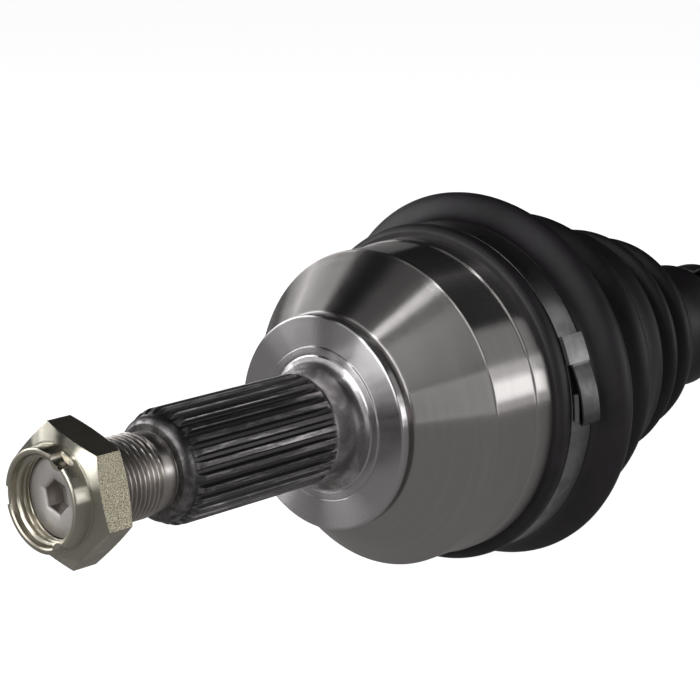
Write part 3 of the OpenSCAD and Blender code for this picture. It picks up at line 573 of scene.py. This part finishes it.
for x in np.linspace(MOUTH_BACK, MOUTH_FRONT, 9):
    ring(x, np.maximum(THROAT_R + (x - MOUTH_FRONT) * MOUTH_SLOPE, cavity_radius(x)))
for x in np.arange(MOUTH_FRONT - 0.5, 9.0, -0.75):
    ring(x, np.minimum(cavity_radius(x), 42.0))
ring(JOINT_X - SPHERE_R, 0.5)
print("rings of the whole stub:", len(stub_x))

# %% [markdown]
# Each face gets its finish from its place. The chamfer's faces are told from the teeth by how far
# they lean along the shaft.

# %% The hub stub and its finishes
points, faces = ring_grid(stub_x, stub_r, stub_angles, closed=False)
stub_finishes = [bell_steel, spline_steel, stud_steel, lit_face_steel, neck_steel, end_steel, chamfer_steel]
hub_stub = add_mesh("hub_stub", points, faces, stub_finishes, sharp=28)
END_BACK, THREAD_FINISH_BACK, CHAMFER_BACK, SPLINE_BACK = -92.2, -62.01, -57.8, -9.5
NECK_BACK, NECK_MAX_R, FACE_BACK, FACE_MIN_R = -0.4, 18.3, 2.32, 14
CHAMFER_LEAN = 0.3
for face in hub_stub.data.polygons:
    x, reach = face.center.x / MM, math.hypot(face.center.y, face.center.z) / MM
    if x < END_BACK and reach > RECESS_AF / 2 + 0.1:
        steel = end_steel
    elif x < THREAD_FINISH_BACK:
        steel = stud_steel
    elif x < CHAMFER_BACK and abs(face.normal.x) > CHAMFER_LEAN:
        steel = chamfer_steel
    elif x < SPLINE_BACK:
        steel = spline_steel
    elif x < NECK_BACK and reach < NECK_MAX_R:
        steel = neck_steel
    elif x < FACE_BACK and reach > FACE_MIN_R:
        steel = lit_face_steel
    else:
        steel = bell_steel
    face.material_index = stub_finishes.index(steel)
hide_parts("outboard_housing")
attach(hub_stub, "hub_end")
print("hub stub:", len(hub_stub.data.polygons), "faces")

# %% [markdown]
# ## The hub nut
# A plated hexagon nut with a thin collar that is dented into the stud to lock it. The hexagon is
# cut by a cone, which gives each flat its curved corner line. The thread inside shows past the end
# of the stud, so it is cut too. The bevel shows the rings of the lathe, and grained and smooth flats
# take turns.

# %% Hub nut
NUT_RIM, NUT_FRONT, NUT_BACK = -97.7, -92.8, -82.8
NUT_FLATS, NUT_CLOCK, COLLAR_R, NUT_BORE = 32.0, math.radians(17.5), 13.2, 11.1
NUT_THREAD_R, NUT_THREAD_DEPTH = 10.35, 0.8
BEVEL_SLOPE, BEVEL_FRONT_R, BEVEL_BACK_R = 3.3, 13.7, 14.2
DENTS, DENT_R, DENT_DEPTH, DENT_END = (-4, 120, 240), 2.5, 1.8, -94.0
nut_angles = even_angles(576) + NUT_CLOCK
hexagon = hexagon_radius(nut_angles, NUT_FLATS, NUT_CLOCK)


def collar_radius(radius, depth):
    """The collar's radius, pushed in at the dents by a share of their depth."""
    out = np.full(nut_angles.shape, float(radius))
    for azimuth in DENTS:
        off = np.abs(angle_from(nut_angles, math.radians(azimuth))) * COLLAR_R
        bite = np.sqrt(np.clip(DENT_R ** 2 - off ** 2, 0, None)) / DENT_R
        out -= DENT_DEPTH * depth * bite
    return out


nut_x, nut_r = [], []


def nut_ring(x, r):
    nut_x.append(x)
    nut_r.append(np.broadcast_to(np.asarray(r, float), nut_angles.shape).copy())


collar = [(NUT_RIM, 12.5, 1), (NUT_RIM + 0.12, 12.85, 1), (NUT_RIM + 0.4, 13.1, 1), (NUT_RIM + 0.8, COLLAR_R, 1),
          (DENT_END - 0.6, COLLAR_R, 1), (DENT_END - 0.2, COLLAR_R, 0.85), (DENT_END, COLLAR_R, 0.3),
          (DENT_END + 0.1, COLLAR_R, 0), (NUT_FRONT - 0.15, COLLAR_R, 0), (NUT_FRONT, 13.35, 0),
          (NUT_FRONT, BEVEL_FRONT_R, 0)]
for x, r, depth in collar:
    nut_ring(x, collar_radius(r, depth))
for x in np.linspace(NUT_FRONT, NUT_FRONT + 1.6, 19)[1:]:
    nut_ring(x, np.minimum(hexagon, BEVEL_FRONT_R + (x - NUT_FRONT) * BEVEL_SLOPE))
for x in np.linspace(NUT_BACK - 1.4, NUT_BACK, 15):
    nut_ring(x, np.minimum(hexagon, BEVEL_BACK_R + (NUT_BACK - x) * BEVEL_SLOPE))
nut_ring(NUT_BACK, 12.6)
nut_ring(NUT_BACK - 0.9, NUT_BORE)
for x in np.arange(NUT_BACK - 1.2, NUT_RIM + 1.5, -0.12):
    in_front = x < STUD_END + 0.4
    thread = thread_radius(x, nut_angles, NUT_THREAD_R, NUT_THREAD_DEPTH, PITCH, inner=True)
    nut_ring(x, thread if in_front else NUT_BORE)
nut_ring(NUT_RIM + 1.3, 11.15)
nut_ring(NUT_RIM + 0.3, 11.5)
nut_ring(NUT_RIM, 11.9)
points, faces = ring_grid(nut_x, nut_r, nut_angles, closed=True)
nut_finishes = [bright_plating, grained_plating, smooth_plating, nut_steel]
hub_nut = add_mesh("hub_nut_detailed", points, faces, nut_finishes, sharp=30)
FLAT_MIN_R, FLAT_LEAN, BEVEL_MIN_R = 15.6, 0.2, 12.9
GRAINED_FLAT, FLAT_HALF = 47.5, 25
for face in hub_nut.data.polygons:
    reach = math.hypot(face.center.y, face.center.z) / MM
    azimuth = math.degrees(math.atan2(face.normal.z, face.normal.y)) % 120
    if reach > FLAT_MIN_R and abs(face.normal.x) < FLAT_LEAN:
        steel = grained_plating if abs(azimuth - GRAINED_FLAT) < FLAT_HALF else smooth_plating
    else:
        steel = nut_steel if reach > BEVEL_MIN_R else bright_plating
    face.material_index = nut_finishes.index(steel)
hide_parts("hub_nut")
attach(hub_nut, "hub_end")
print("hub nut:", len(hub_nut.data.polygons), "faces")


# %% [markdown]
# ## The boots
# Each boot is a blow-moulded bellows: a thick cuff on the bell, folds that get smaller towards the
# bar, and a small cuff. The outline swings in smooth waves between turning points, as the CAD does,
# with more steps. In the folds the wall is the same outline moved in, and the cuffs are thicker.

# %% Outboard boot
def waves(turns, steps=18):
    """Points that swing smoothly from each turning point to the next."""
    out = []
    for (x0, r0), (x1, r1) in zip(turns, turns[1:]):
        for t in np.arange(steps) / steps:
            out.append([x0 + (x1 - x0) * t, r0 + (r1 - r0) * (1 - math.cos(math.pi * t)) / 2])
    return out + [list(turns[-1])]


BOOT_WALL = 2.0
boot_angles = even_angles(240)
outboard_folds = waves([
    (58.6, 47.8), (66.0, 53.5), (82.2, 39.4), (89.4, 45.0), (97.5, 39.6), (106.6, 37.9), (113.4, 30.2),
    (118.0, 35.3), (126.4, 25.6), (131.5, 31.0), (147.5, 17.9)])
large_cuff = [[43.9, BELL_R, 0], [43.9, 46.6, 0.5], [45.1, 48.2, 1.2], [46.9, 48.4, 0.9], [48.4, 47.9, 0.4],
              [48.4, 47.0, 0], [58.0, 47.0, 0], [58.0, 47.6, 0.2], [58.6, 47.8, 0]]
small_cuff = [[147.5, 17.9, 0], [155.0, 17.8, 2.0], [160.0, 19.7, 2.5], [166.0, 19.7, 2.0], [168.4, 18.2, 0.2],
              [169.0, 17.2, 0], [177.6, 17.2, 0], [177.6, 18.0, 0.3], [180.0, 18.0, 0.4], [180.6, 17.4, 0.4],
              [180.6, 13.8, 0]]
outer = rounded(large_cuff) + outboard_folds[1:] + rounded(small_cuff)[1:]
inner = [[167.0, 13.8], [166.0, 15.4], [158.0, 16.2], [150.0, 16.0]]
inner += [[x, r - BOOT_WALL] for x, r in reversed(outboard_folds)]
inner += [[61.0, 45.4], [61.0, BELL_R], [55.0, BELL_R], [54.4, 44.0], [51.4, 44.0], [50.8, BELL_R]]
print("points in the boot's outline:", len(outer) + len(inner))

# %% [markdown]
# A rubber boot is never quite round. The first fold bulges at the top and is pressed flat where the
# shaft rests on it, and the small folds sit a little high and to the side of the axis.

# %% The boot at rest
SWELL_X, SWELL_LENGTH, FOLDS_FRONT = 65.8, 12, 58.6
outline = np.array(outer + inner)
station, reach = outline[:, :1], outline[:, 1:]
swell = (-0.36 * np.cos(boot_angles) + 2.07 * np.sin(boot_angles)
         + 0.99 * np.cos(2 * boot_angles) + 1.14 * np.sin(2 * boot_angles))
fade = np.exp(-((station - SWELL_X) / SWELL_LENGTH) ** 2) * smooth_step((station - FOLDS_FRONT) / 6)
points, faces = ring_grid(outline[:, 0], reach + swell * fade, boot_angles, closed=True)

# The drift grows from x 62 to 115 mm and fades out again from 135 to 165 mm.
DRIFT_SIDE, DRIFT_UP = 0.72, 1.93
drift = smooth_step((points[:, 0] - 62) / 53) * (1 - np.clip((points[:, 0] - 135) / 30, 0, 1))
points[:, 1] += DRIFT_SIDE * drift
points[:, 2] += DRIFT_UP * drift
outboard_boot = add_mesh("outboard_boot_bellows", points, faces, [boot_rubber], sharp=50)
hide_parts("outboard_boot")
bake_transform(outboard_boot)
print("outboard boot:", len(outboard_boot.data.polygons), "faces")

# %% [markdown]
# The inboard boot crosses two joints: it stretches with the plunge and bends with the angle. It is
# made in two parts, cut at its second valley. The part towards the bar, at the bend, is the longer
# one, and both have thin walls, because the bar swings close to the folds.

# %% Inboard boot
CUT_FOLD, THIN_WALL = 3, 1.4
inboard_turns = [(404.0, 45.9), (396.0, 39.0), (389.0, 42.0), (381.0, 34.6), (374.0, 37.0), (366.0, 31.8),
                 (359.0, 33.4), (351.0, 24.9), (344.0, 26.3), (332.0, 17.8)]
large_folds, small_folds = waves(inboard_turns[:CUT_FOLD + 1]), waves(inboard_turns[CUT_FOLD:])
large_outer = rounded([[423.6, 43.0, 0], [423.6, 46.2, 0.6], [422.9, 46.8, 0.5], [421.2, 46.8, 0.4],
                       [420.6, 46.2, 0.2], [420.6, 45.4, 0], [411.0, 45.4, 0], [411.0, 46.2, 0.3],
                       [410.0, 46.6, 0.5], [404.0, 45.9, 0]])
large_outer += large_folds[1:]
large_inner = [[x, r - THIN_WALL] for x, r in reversed(large_folds)]
large_inner += [[405.0, 43.4], [405.0, 43.0], [413.4, 43.0], [414.0, 42.1], [417.0, 42.1], [417.6, 43.0]]
small_outer = small_folds + rounded([[332.0, 17.8, 0], [329.0, 18.2, 1], [327.0, 18.2, 0.4], [327.0, 17.2, 0],
                                     [318.4, 17.2, 0], [318.4, 18.0, 0.3], [316.0, 18.0, 0.4],
                                     [315.4, 17.4, 0.4], [315.4, 13.8, 0]])[1:]
small_inner = [[329.0, 13.8], [330.0, 15.8]] + [[x, r - THIN_WALL] for x, r in reversed(small_folds)]
inboard_parts = {
    "inboard_boot_large_part": (large_outer + large_inner, "gearbox_end", "top_roller", 0.4095, 0.381),
    "inboard_boot_small_part": (small_outer + small_inner, "top_roller", "shaft", 0.381, 0.331)}
for name, (outline, first, second, start, end) in inboard_parts.items():
    half = turned(name, outline[::-1], [boot_rubber], steps=224, sharp=50)
    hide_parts("inboard_boot")
    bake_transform(half)
print("inboard boot: two parts, cut at", inboard_turns[CUT_FOLD][0], "mm")


# %% [markdown]
# ## The clamps
# Each end of a boot is held by a stainless band. The strap is a thin strip that follows a path of
# azimuths and radii round the shaft, so that the same helper makes the band, its folded tab and an
# ear.

# %% Helpers for straps
def strap(path, x_low, x_high, thickness, edge=0.15):
    """Points and faces of a strip that follows [azimuth, radius] points and spans two stations."""
    path = np.array(path, float)
    angle = np.radians(path[:, 0])
    line = np.stack([path[:, 1] * np.cos(angle), path[:, 1] * np.sin(angle)], -1)
    run = np.gradient(line, axis=0)
    run /= np.linalg.norm(run, axis=1)[:, None]
    out = np.stack([run[:, 1], -run[:, 0]], -1)
    half = thickness / 2
    section = [(x_low, -half + edge), (x_low, half - edge), (x_low + edge, half), (x_high - edge, half),
               (x_high, half - edge), (x_high, -half + edge), (x_high - edge, -half), (x_low + edge, -half)]
    points = [[x, *(centre + normal * off)] for centre, normal in zip(line, out) for x, off in section]
    count = len(section)
    faces = []
    for j in range(len(line) - 1):
        for k in range(count):
            a, b = j * count + k, j * count + (k + 1) % count
            faces.append([a, b, b + count, a + count])
    faces.append(list(range(count))[::-1])
    faces.append([(len(line) - 1) * count + k for k in range(count)])
    return points, faces


def joined(parts):
    points, faces = [], []
    for part_points, part_faces in parts:
        start = len(points)
        points += [list(p) for p in part_points]
        faces += [[start + i for i in face] for face in part_faces]
    return points, faces


def arc(start, end, radius, step=3.0):
    count = max(2, int(abs(end - start) / step) + 1)
    return [[a, radius] for a in np.linspace(start, end, count)]


# %% [markdown]
# Three of the clamps are closed by pinching an ear: the strip goes up, over and down again. Its end
# lies on top of the band, just before the ear.

# %% Helper: a clamp with an ear
BAND_T = 0.8


def ear_clamp(name, node, x_mid, width, seat, azimuth, ear_half, ear_height, body):
    """A band with one pinched ear at an azimuth. The seat is the radius of the cuff below it."""
    r = seat + BAND_T / 2
    span = math.degrees(ear_half / r)
    foot = math.degrees(0.9 / r)
    path = arc(azimuth + span + foot, azimuth + 360 - span - foot, r)
    slope = [(1.0, 0.3), (0.62, ear_height * 0.7), (0.5, ear_height * 0.93), (0.3, ear_height)]
    ear = [[azimuth - span * share, r + height] for share, height in slope]
    ear += [[azimuth + span * share, r + height] for share, height in reversed(slope)]
    ear.append([azimuth + span + foot, r])
    path += [[a + 360, h] for a, h in ear]
    lap = arc(azimuth - 26, azimuth + 26, r + BAND_T * 0.98 - 0.2)[:6]
    low, high = x_mid - width / 2, x_mid + width / 2
    points, faces = joined([strap(path, low, high, BAND_T), strap(lap, low + 0.4, high - 0.4, BAND_T * 0.6)])
    piece = add_mesh(name, points, faces, [band_steel], sharp=35)
    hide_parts(node)
    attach(piece, body)
    print(name, "with its ear at", azimuth, "degrees")


# %% [markdown]
# The clamp on the bell has a folded lock instead: two layers of tab, a tongue that rises away from
# them and curls back at its end, and a thick hook below it.

# %% The clamp with a folded lock
band_mid = 47.0 + BAND_T / 2
TONGUE_SHADE_FROM = 1.9
big_parts = [strap(arc(-1, 360, band_mid, 2.0), 48.9, 57.5, BAND_T)]
for layer in (0.75, 1.5):
    big_parts.append(strap(arc(152.8, 162.2, band_mid + layer, 1.0), 48.4, 57.7, 0.72, 0.24))
tongue = [(161, 1.3), (163, 1.6), (167, 2.2), (171, 2.8), (175, 3.2), (178, 3.4), (180.2, 3.6), (181.2, 3.4),
          (181.6, 2.9), (181.2, 2.4), (180.0, 2.2)]
big_parts.append(strap([[azimuth, band_mid + rise] for azimuth, rise in tongue], 49.6, 57.2, 0.6))
big_parts.append(strap(arc(171.8, 180.6, band_mid + 1.35, 1.0), 48.7, 52.6, 1.9, 0.8))
points, faces = joined(big_parts)
outboard_large_clamp = add_mesh("outboard_large_clamp_strap", points, faces, [shaded_buckle_steel, shaded_tongue_steel], sharp=35)
# Painted shade: faces that stand well above the band, on the tongue, take the darkest colour.
for face in outboard_large_clamp.data.polygons:
    above = math.hypot(face.center.y, face.center.z) / MM - band_mid
    face.material_index = int(above > TONGUE_SHADE_FROM)
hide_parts("outboard_large_clamp")
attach(outboard_large_clamp, "hub_end")
print("folded clamp:", len(outboard_large_clamp.data.polygons), "faces")

# %% The three clamps with an ear
ear_clamp("outboard_small_clamp_strap", "outboard_small_clamp", 173.3, 7.0, 17.2, 118, 3.6, 2.8, "shaft")
ear_clamp("inboard_large_clamp_strap", "inboard_large_clamp", 415.8, 8.6, 45.4, 100, 4.6, 3.2, "gearbox_end")
ear_clamp("inboard_small_clamp_strap", "inboard_small_clamp", 322.7, 7.0, 17.2, 60, 3.4, 2.6, "shaft")

# %% [markdown]
# ## The pieces that keep their CAD shape
# The bar, the tripod housing and everything inside the joints have the right shape already. Each
# gets a finish for what it is: ground steel for what rolls, phosphated steel for the cage, paint
# for the bar and black spring steel for the rings.

# %% Finishes for the CAD pieces
node_finish = {
    bar_paint: ["bar_shaft"],
    housing_steel: ["inboard_housing"],
    ground_steel: ["outboard_inner_race", "outboard_balls", "tripod_spider", "roller_top", "roller_left",
                   "roller_right", "needles_top", "needles_left", "needles_right", "roller_washers"],
    cage_steel: ["outboard_cage"],
    spring_steel: ["outboard_race_circlip", "outboard_stop_ring", "roller_circlips", "spider_circlip",
                   "spider_stop_ring", "stub_circlip"],
}
for material, names in node_finish.items():
    for name in names:
        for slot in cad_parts[name].material_slots:
            slot.material = material
    print(material.name, "on", len(names), "pieces")

# %% [markdown]
# ## The stage
# The camera sees a plain white floor and a white background. The steel mirrors a dim room instead,
# with a grey floor below, because polished metal only looks like metal when it has something dark
# to mirror. The light path tells the two kinds of ray apart.

# %% Floor
FLOOR_Z, FLOOR_HALF = -0.0506, 6.0
corners = [(x * FLOOR_HALF, y * FLOOR_HALF, FLOOR_Z) for x, y in ((-1, -1), (1, -1), (1, 1), (-1, 1))]
floor_mesh = bpy.data.meshes.new("floor")
floor_mesh.from_pydata(corners, [], [(0, 1, 2, 3)])
floor = bpy.data.objects.new("floor", floor_mesh)
bpy.context.collection.objects.link(floor)
floor_paper = bpy.data.materials.new("floor paper")
floor_paper.use_nodes = True
tree = floor_paper.node_tree
tree.nodes.clear()
paper = add(tree, "ShaderNodeBsdfDiffuse", {"Color": (0.5, 0.5, 0.5, 1)})
glow = add(tree, "ShaderNodeEmission", {"Color": (1, 1, 1, 1), "Strength": 0.96})
seen = add(tree, "ShaderNodeAddShader", {0: paper.outputs[0], 1: glow.outputs[0]})
mirrored = add(tree, "ShaderNodeEmission", {"Color": (1, 0.985, 0.975, 1), "Strength": 0.2})
ray = add(tree, "ShaderNodeLightPath")
mix = add(tree, "ShaderNodeMixShader", {
    0: ray.outputs["Is Camera Ray"], 1: mirrored.outputs[0], 2: seen.outputs[0]})
add(tree, "ShaderNodeOutputMaterial", {"Surface": mix.outputs[0]})
floor_mesh.materials.append(floor_paper)
print("floor at", round(FLOOR_Z / MM, 1), "mm")

# %% Background
world = bpy.data.worlds.new("studio")
bpy.context.scene.world = world
world.use_nodes = True
tree = world.node_tree
tree.nodes.clear()
ray = add(tree, "ShaderNodeLightPath")
white = add(tree, "ShaderNodeBackground", {"Color": (1, 1, 1, 1), "Strength": 1.0})
room = add(tree, "ShaderNodeBackground", {"Color": (1, 1, 1, 1), "Strength": 0.004})
mix = add(tree, "ShaderNodeMixShader", {
    0: ray.outputs["Is Camera Ray"], 1: room.outputs[0], 2: white.outputs[0]})
add(tree, "ShaderNodeOutputWorld", {"Surface": mix.outputs[0]})
print("background:", world.name)

# %% [markdown]
# ### Soft boxes
# Each light is a soft box with a direction, the way its long side runs, a size and a brightness.
# On turned steel a box shows as a wedge: its direction round the shaft sets where the wedge lies,
# and its width sets how wide it is. The long side runs so that the wedge goes on over the thrust
# face, the cone and the band.

# %% Lights
AIM = Vector((0.02, 0, 0))
DISTANCE = 1.2
POWER = 4
soft_boxes = {
    "streak": ((-0.829, 0.198, 0.523), (-0.39, 0.46, -0.80), 0.09, 1.21, 3.6),
    "streak top": ((-0.39, -0.03, 0.92), (-0.92, 0.0, -0.39), 0.04, 1.6, 1.6),
    "front low": ((-0.945, -0.083, 0.316), (-0.26, 0.76, -0.59), 0.64, 0.76, 2.1),
    "front face": ((-0.950, 0.300, 0.080), (0.17, 0.71, -0.68), 0.29, 0.49, 2.3),
    "front top": ((-0.759, 0.385, 0.525), (-0.44, 0.28, -0.85), 0.35, 0.80, 0.5),
    "left back": ((-0.244, 0.952, 0.186), (-0.94, -0.19, -0.27), 0.25, 0.69, 1.7),
    "left front": ((-0.427, 0.831, 0.356), (-0.81, -0.17, -0.56), 0.43, 0.68, 2.2),
    "left low": ((0.565, 0.817, 0.116), (-0.62, 0.33, 0.71), 0.23, 0.80, 1.3),
    "right low": ((0.109, -0.971, 0.211), (-0.99, -0.10, 0.03), 0.58, 1.27, 0.95),
    "right back": ((0.70, -0.70, 0.12), (-0.70, -0.70, 0.10), 0.22, 0.80, 1.5),
    "back right": ((0.721, -0.556, 0.413), (-0.69, -0.63, 0.35), 0.53, 0.87, 0.32),
    "back left": ((0.713, 0.666, 0.220), (-0.33, 0.04, 0.94), 0.26, 0.71, 0.2),
}
for name, (direction, long_way, width, length, brightness) in soft_boxes.items():
    light = bpy.data.lights.new(name, "AREA")
    light.shape = "RECTANGLE"
    light.size, light.size_y = width, length
    light.energy = POWER * brightness * width * length
    lamp = bpy.data.objects.new(name, light)
    bpy.context.collection.objects.link(lamp)
    away = Vector(direction).normalized()
    side = Vector(long_way).cross(away).normalized()
    turn = Matrix((side, away.cross(side), away)).transposed()
    lamp.matrix_world = Matrix.Translation(AIM + away * DISTANCE) @ turn.to_4x4()
print("soft boxes:", len(soft_boxes))

bpy.context.scene.view_settings.view_transform = "Standard"
bpy.context.scene.view_settings.look = "None"
